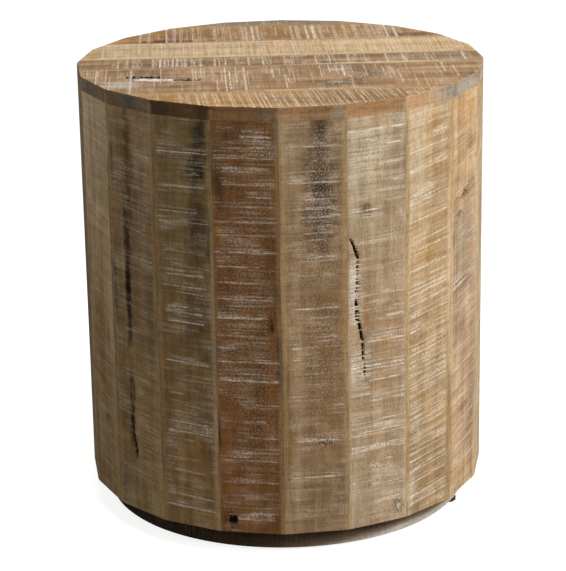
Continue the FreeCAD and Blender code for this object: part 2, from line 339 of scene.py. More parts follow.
# %% Staves in front, on the right
STAVE_CARDS = {}
STAVE_CARDS[1] = card(
    ("#977C5C", "#9A7A56", "#9C8262"), (6, 5), 0.6,
    ((465, -30, 32), (426, -28, 31), (408, -12, 26), (397, -11, 25), (388.7, -14, 31), (371, -12, 23),
     (364, -10, 21), (345, -9, 26), (325, -22, 24), (288, -24, 28), (256, 4, 26), (244, -26, -14),
     (231, -26, -14), (138, -22, 28), (96, -26, 31)), (40, 0.4),
    stains=[
        (8, 424, 19, 72, 0.85, "#5C4230"), (7, 480, 9, 16, 0.7, "#3A281A"), (8, 420, 12, 16, 0.6, "#3C2A20"),
        (8, 380, 18, 24, 0.6, "#4E382A"), (10, 290, 17, 50, 0.5, "#80603E"),
        (10, 205, 18, 70, 0.6, "#84603A"), (10, 136, 9, 6, 0.6, BROWN), (-20, 240, 6, 230, 0.35, "#B09A7C"),
        (-30, 166, 2.5, 90, 1.0, "#7A5A20"), (-35, 220, 1, 50, 1.0, "#1E160C"),
        (34, 330, 3, 150, 0.5, "#8E6E38"), (28, 70, 5, 14, 0.4, "#6E4A34"),
    ],
    burrs=[(8, 420, 19, 72, 0.6), (8, 340, 22, 30, 0.45), (8, 240, 24, 90, 0.4), (8, 137, 17, 8, 0.9),
           (-10, 260, 22, 220, 0.2)],
    knots=[(10, 136, 5)],
)
STAVE_CARDS[2] = card(
    ("#B0997C", "#AB9070", "#B8A486"), (2, 2), 0.9,
    (478, (461, 10, 35), (440, 1, 33), (420, 18, 33), (391, -31, 8), (384, -31, 9), (383, 22, 34),
     (338, -34, -6), 296, (271, 9, 35), (244, -14, 34), 213, (200, -12, 35), (176, -10, 35), 146, 141, 138,
     119.5, (99, -12, 20), (75, -10, 35), (57, -6, 30),
     *((268 + 4.6 * i + math.sin(2.7 * i), -35, -18) for i in range(15)),
     *((185 + 6.2 * i + 1.5 * math.sin(2.7 * i), -33, -7) for i in range(9))), (44, 0.5), bold=1.1,
    stains=[
        (-12, 391, 9, 7, 0.6, "#86684C"), (13, 281, 7, 5, 0.7, "#8C6A40"), (-12, 276, 4, 22, 0.7, "#A8743A"),
        (14, 240, 16, 50, 0.4, "#A87E50"), (10, 110, 20, 30, 0.35, "#A37B50"), (34, 440, 2, 40, 0.7, GREY),
        (-22, 440, 12, 26, 0.4, "#A29A7E"), (-6, 38, 10, 6, 0.5, "#A87048"), (0, 486, 26, 7, 0.4, "#C49C78"),
        (-29, 302, 6, 34, 0.6, "#CFC4B4"), (-27, 215, 8, 30, 0.5, "#CBBEAA"), (25, 46, 6, 8, 0.9, "#6E543A"),
        (25.5, 46, 3, 4, 1.0, "#DCD0BC"), (23, 61, 5, 4, 0.6, "#7A6034"),
    ],
    burrs=[(-12, 388, 10, 9, 0.5), (-6, 99, 10, 8, 0.9), (2, 281, 7, 9, 0.6), (25, 48, 8, 12, 0.9)],
    knots=[(-12, 393, 7)],
    cracks=[
        (1.0, (-31.5, 361), (-28, 353)), (1.35, (-28, 353), (-23.5, 340)), (1.05, (-24, 334), (-24.5, 322)),
        (1.1, (-24.5, 317), (-25, 300)), (1.6, (-25.5, 294), (-25, 272)),
        (1.45, (-23, 269), (-20.5, 258), (-18.5, 247)), (1.1, (-18.5, 243), (-17.5, 226)),
        (0.8, (-16.5, 219), (-15, 203)),
    ],
)
STAVE_CARDS[3] = card(
    ("#AC9069", "#B3956B", "#C2A57C"), (5, 7), 0.8,
    (486, 475, (456, 4, 36), 448, 426, (400, -30, 10), 392, 371, 348, 338, 316, (305, -4, 28), 294, 289, 278,
     263, 248, 242, 231, 226, 221, 214, 208, 203, 196, 187, 183, 173, 158, 153, 147, 141, 135, 124, 118, 111,
     105, 97, 84, 71, 56, 46), (80, 0.45), (0.11, 0.11), steady=1.0, bold=0.85, broad=0.85,
    stains=[
        (9, 440, 6, 80, 0.7, "#9A7444"), (-32, 105, 3, 40, 0.6, "#A67A3E"), (0, 325, 22, 22, 0.5, "#A8823E"),
        (-18, 440, 13, 60, 0.6, "#C6B498"), (33, 260, 3, 150, 0.7, "#CDB896"),
        (34, 150, 2, 40, 0.8, "#7E5E30"), (8, 150, 20, 16, 0.5, "#B08650"), (8, 260, 20, 20, 0.4, "#98784A"),
        (6, 85, 22, 40, 0.45, "#96744E"), (31, 150, 2, 90, 0.6, "#7E6032"), (26, 78, 8, 10, 0.4, GREY),
        (-29, 62, 8, 26, 0.5, "#CFC4B2"),
    ],
)
STAVE_CARDS[4] = card(
    ("#C0A078", "#B29478", "#C6A57B"), (6, 6), 0.7, (416, 280, 249, 204, 182, 161, 143, 116, 88, 66),
    (110, 0.5), (0.12, 0.12), steady=1.0, bold=0.7, broad=0.8,
    stains=[
        (-4, 330, 24, 44, 0.6, "#A29076"), (1, 379, 12, 7, 0.7, "#5E482E"), (14, 432, 18, 10, 0.6, "#94683C"),
        (0, 470, 26, 22, 0.4, "#C6904E"), (-29, 338, 2.5, 14, 0.7, "#665644"),
        (-4, 280, 24, 14, 0.6, "#866C50"), (-14, 360, 8, 3, 0.8, "#5E4832"),
        (33, 330, 3, 110, 0.7, "#DCC8A4"), (-33, 300, 2.5, 110, 0.6, "#D2BC94"),
        (-10, 235, 22, 30, 0.4, "#96785A"), (2, 129, 12, 5, 0.7, "#8E5E42"),
        (10, 200, 20, 40, 0.3, "#9C7A58"), (-33, 110, 3, 26, 0.5, "#96702E"),
    ],
    burrs=[(0, 386, 18, 9, 0.5), (-8, 350, 20, 30, 0.25), (2, 129, 14, 7, 0.5), (0, 450, 28, 36, 0.25)],
    cracks=[(0.45, (-23, 381), (-9, 377), (3, 381), (12, 374)), (0.4, (-21, 361), (-12, 363), (-5, 358))],
)
STAVE_CARDS[5] = card(
    ("#BEA586", "#C2AA89", "#BFA683"), (5, 5), 0.5, (410, 250, 120), tilt=(0.06, 0.06),
    stains=[(10, 330, 10, 60, 0.4, GREY)],
)

# %% Staves in front, on the left
STAVE_CARDS[20] = card(
    ("#7C532B", "#7A5128", "#77512A"), (2, 4), 0.6,
    ((475.7, -5, 30), (464.7, 4, 30), 453, (439, -26, 30), (424.7, -26, 34), (411, 0, 30), (401, -3, 31), 384,
     369.7, 351, (334.7, -34, 14), (317, -34, 14), (299, -34, 28), (278, -35, 22), (258, -36, 9),
     (244, -36, -12), 228.7, 207, (179.7, -11, 36), (159.7, -8, 19), (142, -6, 31), (124.7, -28, 36), 114.7,
     (89.7, -31, 31), (71, -10, 20), (46, -28, 26)), (30, 0.4), bold=0.8, broad=1.15,
    stains=[
        (25.6, 268, 2.5, 9, 1.0, "#22120A"), (33, 300, 3, 16, 0.8, "#3A2E34"),
        (33, 225, 3, 34, 0.8, "#3A2E30"), (-28, 430, 6, 40, 0.5, DARK), (-34.5, 150, 2, 24, 1.0, "#140C06"),
        (-28, 370, 7, 18, 0.6, "#8A5C1E"), (-14, 478, 16, 10, 0.5, "#4A3018"),
        (6, 205, 14, 60, 0.3, "#553818"), (-22, 243, 12, 10, 0.5, "#6A5A48"),
        (32, 470, 4, 26, 0.5, "#6A6050"), (-22, 45, 8, 9, 0.9, "#20160E"), (10, 60, 26, 24, 0.3, "#8A6A44"),
    ],
    burrs=[(-22, 240, 12, 16, 0.5), (18, 460, 12, 10, 0.6), (18, 405, 14, 26, 0.4), (16, 150, 16, 50, 0.35),
           (0, 270, 34, 210, 0.32)],
    holes=[(-22, 44.5, 5.5)],
)
STAVE_CARDS[19] = card(
    ("#967850", "#8C704A", "#8C744E"), (6, 5), 0.8,
    (455, (418, -28, 28), (390, -30, 20), 379, (346, -27, 27), (320, -26, 24), (307, -29, 29), (278, -26, 22),
     (267, -24, 23), (221, -28, 28), (184, -24, -4), (151, -24, 26), (140, -27, 31), (94, -20, 20),
     (65, -30, 30), 52), (70, 0.35), (-0.03, 0.03), bold=1.2, broad=0.8, steady=1.2,
    stains=[
        (24, 472, 11, 26, 0.8, "#2E261A"), (18, 437, 12, 19, 0.9, "#26180D"), (17, 438, 4, 6, 1.0, "#3A2416"),
        (18, 375, 14, 46, 0.65, "#36281A"), (12, 265, 17, 50, 0.5, "#40301C"),
        (-32, 200, 3, 170, 0.7, "#9A7040"), (33, 200, 3, 150, 0.7, "#A48C76"),
        (10, 100, 12, 36, 0.5, "#8E6234"), (34, 455, 2, 50, 0.8, "#5A3416"), (31, 350, 2, 40, 0.7, "#3A2A18"),
    ],
)
STAVE_CARDS[18] = card(
    ("#9C8057", "#957A55", "#A68A66"), (3, 5), 0.7, (), (56, 0.45), (-0.06, -0.06),
    stains=[
        (-5, 430, 9, 70, 0.8, "#5E4620"), (-9, 345, 6, 60, 0.9, "#3E2A14"),
        (-10.5, 276, 5.5, 56, 1.0, "#150B04"), (-11, 175, 3, 18, 0.6, "#3A2A1A"),
        (-12, 128, 4, 26, 0.9, "#2A1A0C"), (-7, 104, 3, 12, 0.9, "#221409"),
        (-32, 290, 3, 40, 0.7, "#3A3026"), (-30, 430, 2.5, 30, 0.6, "#4A3A24"),
        (-20, 440, 5, 70, 0.4, "#AC9068"), (10, 400, 14, 24, 0.4, "#6E5A36"),
        (26, 270, 8, 60, 0.4, "#5E4C38"), (33, 400, 2, 110, 0.7, "#B0885A"), (-28, 60, 8, 30, 0.4, "#807466"),
    ],
    burrs=[(-32, 290, 4, 36, 0.5)],
    cracks=[(0.7, (-13, 188), (-15, 172), (-13, 150)), (0.7, (-9, 186), (-8, 168), (-10, 148)),
            (1.2, (-12, 140), (-11, 118), (-6, 98))],
)
STAVE_CARDS[17] = card(
    ("#9E8259", "#B8986C", "#E6CCA4"), (4, 16), 0.6, (455, 418), (70, 0.35), (-0.12, -0.06), steady=1.0,
    bold=0.6,
    stains=[
        (5, 125, 9, 12, 0.7, "#5E5242"), (-8, 200, 24, 70, 0.3, BROWN), (-18, 420, 10, 70, 0.5, "#D0AA88"),
        (34, 260, 2.5, 240, 0.9, "#5A4424"), (-34, 290, 3, 24, 0.8, "#5A4A30"),
    ],
)
STAVE_CARDS[16] = card(
    ("#9A8566", "#87745A", "#A38E6E"), (6, 6), 0.4, stains=[(-5, 260, 20, 90, 0.45, DARK)],
)

# %% Staves behind
STAVE_CARDS[6] = card(
    ("#B59873", "#AD8F6B", "#B89C78"), (4, 9), 0.9, (470, 402, 290, 214, 95), (80, 0.6), steady=1.0,
    stains=[(-12, 200, 9, 70, 0.5, BROWN), (14, 380, 14, 50, 0.4, "#C8B496"),
            (8, 110, 20, 30, 0.4, "#96744E")],
)
STAVE_CARDS[7] = card(
    ("#8F6540", "#8A603C", "#936945"), (3, 3), 0.8, (455, 430, 388, 342, 301, 262, 190, 131, 84), (60, 0.55),
    stains=[(24, 400, 9, 50, 0.6, DARK), (-18, 300, 12, 60, 0.4, "#5E3C1E"),
            (10, 90, 16, 40, 0.4, "#A8743A")],
    burrs=[(-12, 160, 14, 16, 0.5), (0, 270, 34, 190, 0.2)], knots=[(-12, 160, 7)],
)
STAVE_CARDS[8] = card(
    ("#A68D69", "#A98F6C", "#A38865"), (9, 4), 0.8, (418, 346, 273, 199, 127, 54), (80, 0.55), (0.08, 0.08),
    steady=1.1, stains=[(10, 330, 12, 60, 0.4, GREY), (-10, 180, 16, 60, 0.4, "#7E5E30")],
)
STAVE_CARDS[9] = card(
    ("#C0A37C", "#BFA27D", "#C4A983"), (4, 4), 0.6, (380, 240, 160, 96), (90, 0.55), (0.12, 0.12), steady=1.0,
    stains=[(-4, 250, 18, 90, 0.4, ORANGE), (12, 430, 18, 40, 0.5, "#9A7444"),
            (-20, 120, 9, 60, 0.4, "#A29076")],
    burrs=[(14, 330, 16, 16, 0.5)], knots=[(14, 330, 8)],
)
STAVE_CARDS[10] = card(
    ("#9D7F5B", "#96795A", "#9A7F60"), (5, 12), 0.7, (440, 360, 150, 122, 84), (70, 0.55),
    stains=[(-16, 360, 12, 80, 0.6, "#5A4335"), (-14, 420, 9, 30, 0.5, "#3C2A20"),
            (0, 140, 22, 60, 0.4, "#B09A7C")],
    burrs=[(-16, 380, 12, 60, 0.5), (0, 200, 20, 60, 0.25)],
    cracks=[(1.6, (12, 300), (15, 270), (14, 240)), (1.2, (15, 228), (18, 205))],
)
STAVE_CARDS[11] = card(
    ("#B39A78", "#B69D7C", "#AF9573"), (4, 4), 1.0, (462, 411, 352, 296, 236, 181, 118, 69), (80, 0.65),
    steady=1.0,
    stains=[(-16, 300, 10, 80, 0.4, "#A87E50"), (18, 430, 10, 40, 0.5, "#86684C"),
            (0, 90, 24, 30, 0.4, "#CBBEAA")],
)
STAVE_CARDS[12] = card(
    ("#8B5E38", "#885A35", "#8A613D"), (6, 3), 0.85, (430, 380, 330, 270, 205, 150, 96), (60, 0.55),
    stains=[(-22, 150, 8, 90, 0.5, DARK), (14, 420, 14, 40, 0.4, "#553818"),
            (8, 230, 18, 40, 0.4, "#A06C34")],
    burrs=[(0, 270, 34, 190, 0.2)],
)
STAVE_CARDS[13] = card(
    ("#A98C66", "#B0946E", "#B79B76"), (3, 7), 0.8, (395, 322, 250, 176, 103), (80, 0.5), (-0.06, -0.06),
    steady=1.0,
    stains=[(-10, 420, 12, 14, 0.4, BROWN), (16, 280, 8, 90, 0.5, "#7A5C34"),
            (-12, 120, 18, 40, 0.4, "#8E6E38")],
    knots=[(-10, 420, 7)],
)
STAVE_CARDS[14] = card(
    ("#BDA07A", "#B99C77", "#B4966F"), (11, 4), 0.7, (450, 390, 330, 268, 210, 130), (90, 0.55), (0.12, 0.12),
    steady=1.0, stains=[(8, 120, 16, 60, 0.4, GREY), (-8, 380, 20, 40, 0.4, "#96744E")],
)
STAVE_CARDS[15] = card(
    ("#95805F", "#9C8664", "#A18B6A"), (4, 5), 0.8, (430, 371, 310, 255, 140, 80), (80, 0.5), (-0.05, -0.05),
    steady=1.0, stains=[(20, 300, 8, 110, 0.5, BROWN), (-12, 400, 14, 50, 0.4, "#6E5A36")],
)
print(len(STAVE_CARDS), "stave cards")

# %% [markdown]
# ## Painting a board
# The marks on a card become numbers at each point of the board. A stain is an oval with an edge
# broken by noise, a knot is a few rings, and a split is the distance to a line. Painting them into
# the mesh, and not into a picture, keeps them with the board from every side. Drawing them with
# nodes would need a chain of nodes for each mark. In a noise, a place is divided by the size of the
# patches in millimetres, across and along the board.

# %% Tones, stains and knots
TINTING = 1.0, 1.12, 1.3        # a darker patch loses more green and blue than red
KNOT = linear("#4A3526")


def mixed(first, second, share):
    return tuple(a + (b - a) * share for a, b in zip(first, second))


def clamp(value):
    return min(max(value, 0.0), 1.0)


def reach_of(mark, across, along):
    """How far a point lies from the middle of an oval mark, as a share of its half sizes."""
    x, z, wide, high = mark[:4]
    return math.hypot((across - x) / wide, (along - z) / high)


def tone_at(marks, across, along, share, seed):
    """The colour of a board at a point, with its stains and knots."""
    tones = marks["tones"]
    place = clamp(share + 0.25 * noise.noise((across / 40, along / 120, seed))) * (len(tones) - 1)
    lower = min(int(place), len(tones) - 2)
    tone = mixed(tones[lower], tones[lower + 1], place - lower)
    shade = 1 + marks["figure"] * noise.fractal((across / 12, along / 110, seed + 0.4), 1.0, 2.0, 2)
    shade += 0.2 * noise.fractal((across / 45, along / 8, seed + 0.9), 1.0, 2.0, 2)
    tone = tuple(channel * shade ** power for channel, power in zip(tone, TINTING)) + (1.0,)
    for stain in marks["stains"]:
        reach = reach_of(stain, across, along)
        if reach < 2:
            ragged = 0.4 * noise.fractal((across / 6, along / 20, seed), 1.0, 2.0, 3)
            ragged += 0.3 * noise.fractal((across / 14, along / 4, seed), 1.0, 2.0, 3)
            tone = mixed(tone, stain[5], stain[4] * clamp(1.2 * (1.25 - reach + ragged)))
    for x, z, size in marks["knots"]:
        reach = reach_of((x, z, size, 1.25 * size), across, along)
        reach += 0.25 * noise.noise((across / 3, along / 3, seed))
        ring = 0.5 - 0.5 * math.cos(math.tau * reach)
        tone = mixed(tone, KNOT, clamp(1.6 - reach) * (0.1 + 0.5 * ring))
    return tone


# %% Splits
def split_at(marks, across, along):
    """1 in the middle of a split, falling to 0 at three half widths from it."""
    point = Vector((across, along))
    deepest = 0.0
    for half, *line in marks["cracks"]:
        for start, end in zip(line, line[1:]):
            run = Vector(end) - Vector(start)
            part = clamp((point - Vector(start)).dot(run) / run.length_squared)
            deepest = max(deepest, 1 - (point - Vector(start) - run * part).length / (3 * half))
    return deepest


# %% [markdown]
# The saw leaves bold scores at uneven steps and weaker ones between them. Each has a start and an
# end across the board, a strength, a half width, and a haze of wash that reaches a few millimetres
# along the board. The weaker ones are drawn from a seeded generator, so that every run is the same.

# %% Scores
Score = namedtuple("Score", "start end strength half haze reach")
LEAST_STEP = 3.2                # millimetres between a faint score and any other
SCORE_MARGIN = 6                # millimetres that faint scores keep from a board's ends
NEAR_BOLD = 0.6                 # share of the faint scores that lie close to a bold one


def saw_scores(marks, low, high, half_width, seed):
    """Each score of a board by its place along it."""
    draw = random.Random(seed)
    low, high = low + SCORE_MARGIN, high - SCORE_MARGIN
    scores = {}
    for score in marks["scores"]:
        place, start, end = score if isinstance(score, tuple) else (score, -half_width, half_width)
        line = marks["bold"] * draw.uniform(0.5, 1.0), marks["broad"] * draw.uniform(0.7, 1.5)
        scores[place] = Score(start, end, *line, draw.uniform(0.3, 0.9), draw.uniform(3.0, 12.0))
    bold = list(scores)
    count, strength = marks["saw"]
    for _ in range(count):
        place = draw.uniform(low, high)
        if bold and draw.random() < NEAR_BOLD:
            place = min(draw.choice(bold) + draw.uniform(3, 24), high)
        length = half_width * draw.uniform(0.3, 1.5)
        start = draw.uniform(-half_width, half_width - 0.5 * length)
        line = strength * draw.uniform(0.4, 1.0), marks["broad"] * draw.uniform(0.5, 1.0)
        haze = draw.uniform(0.1, 0.45), draw.uniform(1.0, 4.0)
        if all(abs(place - other) > LEAST_STEP for other in scores):
            scores[place] = Score(start, start + length, *line, *haze)
    return scores


def core_rows(place, score):
    """The two rows of points between which a score is full."""
    return [place - 0.4 * score.half, place + 0.4 * score.half]


# %% [markdown]
# One function paints a point and also says how deep the saw cut there, so that the colour of a
# score and its groove can't drift apart.

# %% The painter
RIPPLE = 0.12                   # height of the saw's ripple, millimetres
SCORE_DEPTH, SPLIT_DEPTH, HOLE_DEPTH = 0.5, 3.0, 5.0        # millimetres
HAZE_FADE, SCORE_FADE = 4, 3    # millimetres over which a haze and a score run out at their ends
PAINTS = "wash", "score", "sanded", "crack", "burr"
BARE_WOOD, JOINT_DIRT = linear("#D2B486"), linear("#47361C")


def painter(bm, marks, scores, half_width, seed):
    """Adds the paint layers to a board and returns the function that paints one of its points."""
    bm.verts.layers.float_color.new("tone")
    for name in PAINTS:
        bm.verts.layers.float.new(name)
    layers = [bm.verts.layers.float[name] for name in PAINTS]
    tone_layer = bm.verts.layers.float_color["tone"]
    cores = {row: score for place, score in scores.items() for row in core_rows(place, score)}
    near = {}

    def within(score, across, fade):
        """1 between a score's start and end, falling to 0 at both."""
        return clamp((across - score.start) / fade) * clamp((score.end - across) / fade)

    def haze_at(across, along):
        """The wash that is left beside the scores, mostly on the side that the blade came from."""
        if along not in near:
            near[along] = [
                (score, score.haze * clamp(1.3 - (along - place) / score.reach))
                for place, score in scores.items() if -1 < along - place < 1.3 * score.reach
            ]
        haze = max((level * within(score, across, HAZE_FADE) for score, level in near[along]), default=0.0)
        return haze * clamp(0.75 + 1.3 * noise.noise((across / 13, along / 6, seed + 0.3)))

    def paint(vert, across, along, share, joint=False):
        """Paints a point and returns the depth of the saw's cut there, in millimetres."""
        waver = 1.5 * noise.noise((along / 30, seed, 0.5))
        low_strip, high_strip = marks["strips"]
        sanded = max(
            clamp((low_strip + waver - half_width - across) / 2 + 0.5),
            clamp((high_strip + waver - half_width + across) / 2 + 0.5),
        )
        score = 0.0
        if along in cores:
            steady = clamp(marks["steady"] + 1.6 * noise.noise((across / 10, along, seed)))
            score = cores[along].strength * steady * within(cores[along], across, SCORE_FADE) * (1 - sanded)
        wash = clamp(0.1 + 0.6 * noise.noise((across / 24, along / 14, seed + 0.7))) + haze_at(across, along)
        wash = clamp(marks["wash"] * wash) * (1 - sanded)
        split = split_at(marks, across, along)
        aside = (max(abs(across - x), abs(along - z)) / half for x, z, half in marks["holes"])
        hole = max((clamp(3 - 3 * reach) for reach in aside), default=0)
        burr = (mark[4] * clamp(1.5 * (1.2 - reach_of(mark, across, along))) for mark in marks["burrs"])
        tone = mixed(tone_at(marks, across, along, share, seed), BARE_WOOD, 0.2 * sanded)
        dirt = joint * 0.6 * clamp(0.25 + noise.noise((along / 45, seed, 0.8)))
        vert[tone_layer] = mixed(tone, JOINT_DIRT, dirt)
        values = wash, score, sanded, max(split, hole), max(burr, default=0)
        for layer, value in zip(layers, values):
            vert[layer] = value
        ripple = RIPPLE * noise.fractal((across / 45, along / 3.4, seed), 1.0, 2.0, 3) * (1 - sanded)
        opened = clamp(4 * split - 2.2 - 3 * score)
        return ripple + SCORE_DEPTH * score + SPLIT_DEPTH * opened + HOLE_DEPTH * hole

    return paint


# %% [markdown]
# ## Cutting a board of the drum
# A stave starts as a four-cornered foot, is drawn up to its height, and its outside is cut into a
# fine net. The rows of the net are then slid to where the saw marks are, so that a score is a real
# groove one row wide. Subdividing evenly would need many times the faces for the same crisp score.

# %% Rows that follow the saw
ROW = 2.0                       # millimetres between plain rows
LEAST_ROW = 0.7                 # and at least between a plain row and any other


def saw_rows(tight, scores):
    """Places along a board: its ends and arrises, four rows for each score, and plain rows between."""
    for place, score in scores.items():
        tight = tight + [place - score.half, *core_rows(place, score), place + score.half]
    low, high = min(tight), max(tight)
    count = round((high - low) / ROW)
    plain = [low + (high - low) * i / count for i in range(count + 1)]
    clear = [row for row in plain if all(abs(row - other) > LEAST_ROW for other in tight)]
    return sorted(set(tight + clear))


# %% [markdown]
# The net is made by operators: one face, one subdivided edge, an extrusion, and the upright edges
# cut again. What is left is a small move for each point of the outside, from its place on the
# board: the saw's cut, the arrises, and the corner that was sanded round to meet its neighbour.

# %% A board of the drum
COLUMNS = 36                    # strips across a board's outside
FOOT_ARRIS, SEAM_ARRIS, JOINT_GROOVE = 1.2, 0.3, 0.15       # millimetres
JOINT_EDGE = 0.01               # millimetres from a board's side within which a point is on the joint
SLANT_FADE = 24                 # millimetres from a stave's ends over which its slanted rows come level
TINY = 1e-6                     # metres within which two places are the same


def blank(inner, low, high, row_count):
    """A mitred block facing -Y whose outside is cut into a net."""
    bm = bmesh.new()
    inside, outside = inner * math.tan(MITRE), FLAT * math.tan(MITRE)
    outline = (-inside, -inner), (inside, -inner), (outside, -FLAT), (-outside, -FLAT)
    corners = [bm.verts.new((x, y, low)) for x, y in outline]
    foot = bm.faces.new(corners)
    bmesh.ops.subdivide_edges(bm, edges=[bm.edges.get(corners[2:])], cuts=COLUMNS - 1)
    drawn = bmesh.ops.extrude_face_region(bm, geom=[foot])["geom"]
    head = [g for g in drawn if isinstance(g, bmesh.types.BMVert)]
    bmesh.ops.translate(bm, verts=head, vec=(0, 0, high - low))
    shown = [e for e in bm.edges if all(v.co.y < -FLAT + TINY for v in e.verts)]
    uprights = [e for e in shown if abs(e.verts[0].co.z - e.verts[1].co.z) > TINY]
    bmesh.ops.subdivide_edges(bm, edges=uprights, cuts=row_count - 2)
    return bm


def eased_flat(aside):
    """How far the drum's eased side lies from the axis, so far aside from the side's middle."""
    past = max(abs(aside) - (FLAT - EASING) * math.tan(MITRE), 0.0)
    return FLAT - EASING + math.sqrt(max(EASING ** 2 - past ** 2, 0.0))


def slant_at(marks, across, share):
    """How far a slanted score has climbed at a point, so far along the board."""
    first, last = marks["tilt"]
    return across * (first + (last - first) * share)


def drum_board(azimuth, inner, low, high, marks, seed, foot_arris=SEAM_ARRIS, lying=False):
    """A mitred board of the drum with its outside shaped and painted. A lying board's grain is level."""
    foot, head = low / MM, high / MM
    half = HALF_FACE / MM
    scores = saw_scores(marks, foot, head, half, seed)
    rows = saw_rows([foot, foot + foot_arris, head - SEAM_ARRIS, head], scores)
    bm = blank(inner, low, high, len(rows))
    paint = painter(bm, marks, scores, half, seed)
    grain_place = {}
    for vert in bm.verts:
        share = (vert.co.z - low) / (high - low)
        if vert.co.y > -FLAT + TINY:
            paint(vert, 0, vert.co.z / MM, share)
            continue
        along = rows[round(share * (len(rows) - 1))]
        across = vert.co.x / (FLAT * math.tan(MITRE)) * half
        share = (along - foot) / (head - foot)
        joint = abs(across) > half - JOINT_EDGE
        depth = paint(vert, across, along, share, joint) + JOINT_GROOVE * joint
        depth += max(foot_arris - along + foot, 0) + max(SEAM_ARRIS - head + along, 0)
        outward = eased_flat(across * MM) - depth * MM
        slant = slant_at(marks, across, share)
        slant *= clamp((along - foot) / SLANT_FADE) * clamp((head - along) / SLANT_FADE)
        side = min(abs(across) * MM, outward * math.tan(MITRE))
        vert.co = (math.copysign(side, across), -outward, (along + slant) * MM)
        grain_place[vert] = Vector((along, across) if lying else (across, along)) * MM
    map_grain(bm, grain_place, seed, lying)
    bmesh.ops.rotate(bm, verts=bm.verts, matrix=Matrix.Rotation(azimuth, 3, "Z"))
    return bm


# %% Grain and finished pieces
BOARD_SHIFT = Vector((0.37, 0.61))      # metres from one board's place in the wood to the next one's
SHARP = math.radians(40)                # an edge that turns more than this is shaded crisp


def map_grain(bm, grain_place, seed, lying=False):
    """A UV map in metres, across and along the grain, at another place in the wood for each board."""
    grain = bm.loops.layers.uv.new("grain")
    shift = BOARD_SHIFT * seed
    for face in bm.faces:
        shown = all(vert in grain_place for vert in face.verts)
        for loop in face.loops:
            level, height = loop.vert.co.x + loop.vert.co.y, loop.vert.co.z
            hidden = (height, level) if lying else (level, height)
            loop[grain].uv = (grain_place[loop.vert] if shown else Vector(hidden)) + shift


def finish_piece(bm, name, node):
    """Makes a bmesh a mango piece at the origin that takes the place of a CAD node."""
    bmesh.ops.recalc_face_normals(bm, faces=bm.faces)
    mesh = bpy.data.meshes.new(name)
    bm.to_mesh(mesh)
    bm.free()
    mesh.shade_smooth()
    mesh.set_sharp_from_angle(angle=SHARP)
    mesh.materials.append(MANGO)
    piece = bpy.data.objects.new(name, mesh)
    scene.collection.objects.link(piece)
    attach(piece, "root")
    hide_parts(node)
    return len(mesh.polygons)


# %% [markdown]
# ## Staves
# The staves are numbered round the drum from its front corner. The last one has an old square nail
# hole near its foot, which shows that the boards had a life before.

# %% Staves
faces = 0
for number, marks in sorted(STAVE_CARDS.items()):
    azimuth = (number - 0.5) * STAVE_ANGLE
    board = drum_board(azimuth, STAVE_INNER, STAVE_FOOT, STAVE_HEAD, marks, number, FOOT_ARRIS)
    faces += finish_piece(board, f"sawn_stave_{number:02d}", f"stave_{number:02d}")
print(STAVES, "staves of", faces, "faces")

# %% [markdown]
# ## Rim
# Short blocks of the same wood crown the staves, with their grain level and their mitres in line.
# They were sanded with the top, so they carry little wash, and several have the blue-grey stain
# that mango takes from the weather.

# %% Rim cards
RIM_TONES = {
    1: ("#9C7D5C", "#9A7A58"), 2: ("#AC8A64", "#A88560"), 3: ("#BE9D78", "#BE9D78"),
    4: ("#B09E8A", "#B09C86"), 5: ("#B2A189", "#A99880"), 16: ("#988A7C", "#8E8377"),
    17: ("#A08A72", "#9A846C"), 18: ("#8C765E", "#867058"), 19: ("#634A30", "#5E462D"),
    20: ("#84633F", "#80603F"),
}
REAR_RIM_TONES = (("#AC8A64", "#A4825C"), ("#8C6C4A", "#876746"), ("#BC9E7A", "#B39470"))
RIM_STAINS = {
    1: [(28, 500, 8, 12, 0.7, "#A4967A"), (-20, 500, 14, 9, 0.3, ORANGE)],
    2: [(-4, 498, 26, 9, 0.4, "#B07A4A")],
    3: [(22, 500, 16, 20, 0.5, "#A09A90"), (31, 498, 5, 9, 0.5, "#848280"),
        (-22, 500, 18, 9, 0.35, "#C08450")],
    4: [(-30, 498, 8, 12, 0.7, "#807E7C"), (0, 500, 24, 20, 0.5, "#A8A298")],
    17: [(-10, 498, 12, 9, 0.5, GREY), (28, 500, 6, 9, 0.5, "#8E6A52")],
    18: [(2, 499, 12, 12, 0.5, "#54565A"), (24, 499, 11, 12, 0.45, "#9A8068"),
         (-26, 499, 10, 10, 0.4, "#86623E")],
    19: [(-24, 498, 14, 9, 0.4, "#34362E"), (8, 498, 20, 9, 0.4, "#6E4C28"), (28, 498, 8, 9, 0.4, DARK)],
    20: [(26, 500, 6, 12, 0.6, "#84745A")],
}
RIM_CARDS = {}
for number in range(1, STAVES + 1):
    tones = RIM_TONES.get(number, REAR_RIM_TONES[number % len(REAR_RIM_TONES)])
    RIM_CARDS[number] = card(tones, (3, 3), 0.2, saw=(0, 0), stains=RIM_STAINS.get(number, ()))

# %% Rim blocks
RIM_SEED = 40
for number, marks in RIM_CARDS.items():
    azimuth = (number - 0.5) * STAVE_ANGLE
    block = drum_board(azimuth, RIM_INNER, STAVE_HEAD, RIM_HEAD, marks, RIM_SEED + number, lying=True)
    finish_piece(block, f"rim_block_{number:02d}", f"rim_{number:02d}")
print(len(RIM_CARDS), "rim blocks")

# %% [markdown]
# ## Top boards
# Six boards of uneven width lie side by side over the rim, turned a few degrees from the camera.
# Their grain runs along them and the saw marks across, more slanted on the front board. On these
# cards the first number is across the board from its middle, towards the back, and the second
# along it, to the right.

